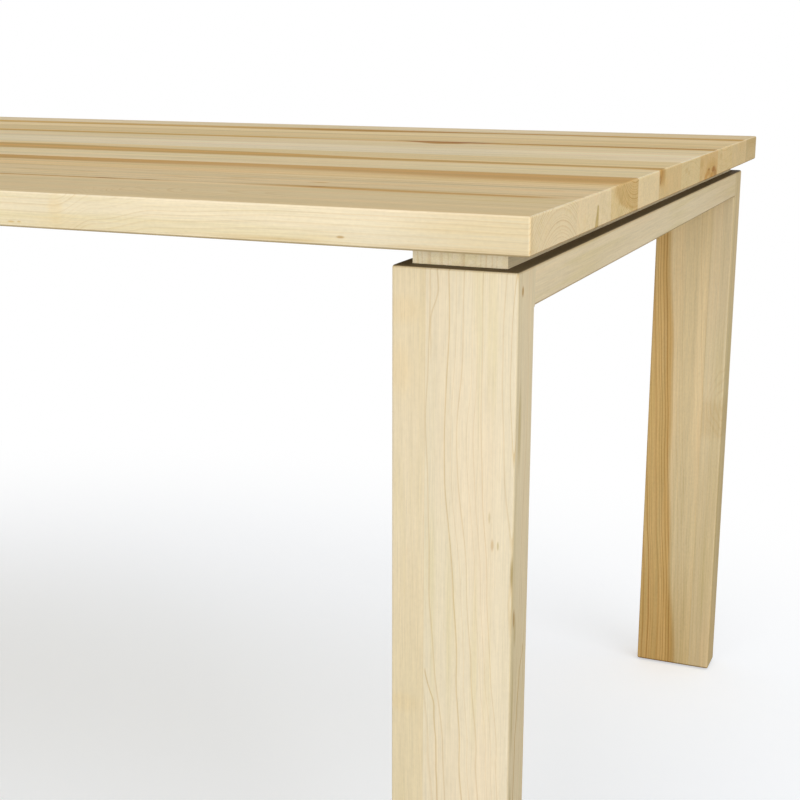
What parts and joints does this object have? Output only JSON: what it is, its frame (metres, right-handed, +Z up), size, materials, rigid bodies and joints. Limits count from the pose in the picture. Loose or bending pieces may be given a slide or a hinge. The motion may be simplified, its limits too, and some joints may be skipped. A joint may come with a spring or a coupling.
{
  "type": "dining table",
  "caption": "Dining table in pale solid wood: a thick stave-glued top on a shadow gap over two portal end frames of plank legs and flat rails.",
  "frame": {"origin": "on the floor, at the middle of the table's footprint", "axes": "+X along the table to its right end seen from the front, +Y to its rear long side, +Z up"},
  "size_m": [2, 1, 0.75],
  "materials": {
    "top_wood": "oiled satin",
    "leg_wood": "oiled satin",
    "rail_wood": "oiled satin",
    "batten_wood": "planed",
    "dowel_wood": "planed",
    "zinc_steel": "zinc",
    "black_steel": "blackened",
    "glide_plastic": "matt"
  },
  "bodies": {
    "root": {"top_stave_01": "top_wood", "top_stave_02": "top_wood", "top_stave_03": "top_wood", "top_stave_04": "top_wood", "top_stave_05": "top_wood", "top_stave_06": "top_wood", "top_stave_07": "top_wood", "top_stave_08": "top_wood", "top_stave_09": "top_wood", "top_stave_10": "top_wood", "front_right_leg_narrow_board": "leg_wood", "front_right_leg_wide_board": "leg_wood", "rear_right_leg_narrow_board": "leg_wood", "rear_right_leg_wide_board": "leg_wood", "front_left_leg_narrow_board": "leg_wood", "front_left_leg_wide_board": "leg_wood", "rear_left_leg_narrow_board": "leg_wood", "rear_left_leg_wide_board": "leg_wood", "right_rail": "rail_wood", "right_batten": "batten_wood", "right_batten_dowels": "dowel_wood", "right_batten_screws": "zinc_steel", "right_top_bolts": "black_steel", "right_bolt_washers": "zinc_steel", "right_threaded_inserts": "zinc_steel", "left_rail": "rail_wood", "left_batten": "batten_wood", "left_batten_dowels": "dowel_wood", "left_batten_screws": "zinc_steel", "left_top_bolts": "black_steel", "left_bolt_washers": "zinc_steel", "left_threaded_inserts": "zinc_steel", "front_right_rail_tenons": "dowel_wood", "front_right_foot_glides": "glide_plastic", "rear_right_rail_tenons": "dowel_wood", "rear_right_foot_glides": "glide_plastic", "front_left_rail_tenons": "dowel_wood", "front_left_foot_glides": "glide_plastic", "rear_left_rail_tenons": "dowel_wood", "rear_left_foot_glides": "glide_plastic"}
  },
  "joints": []
}
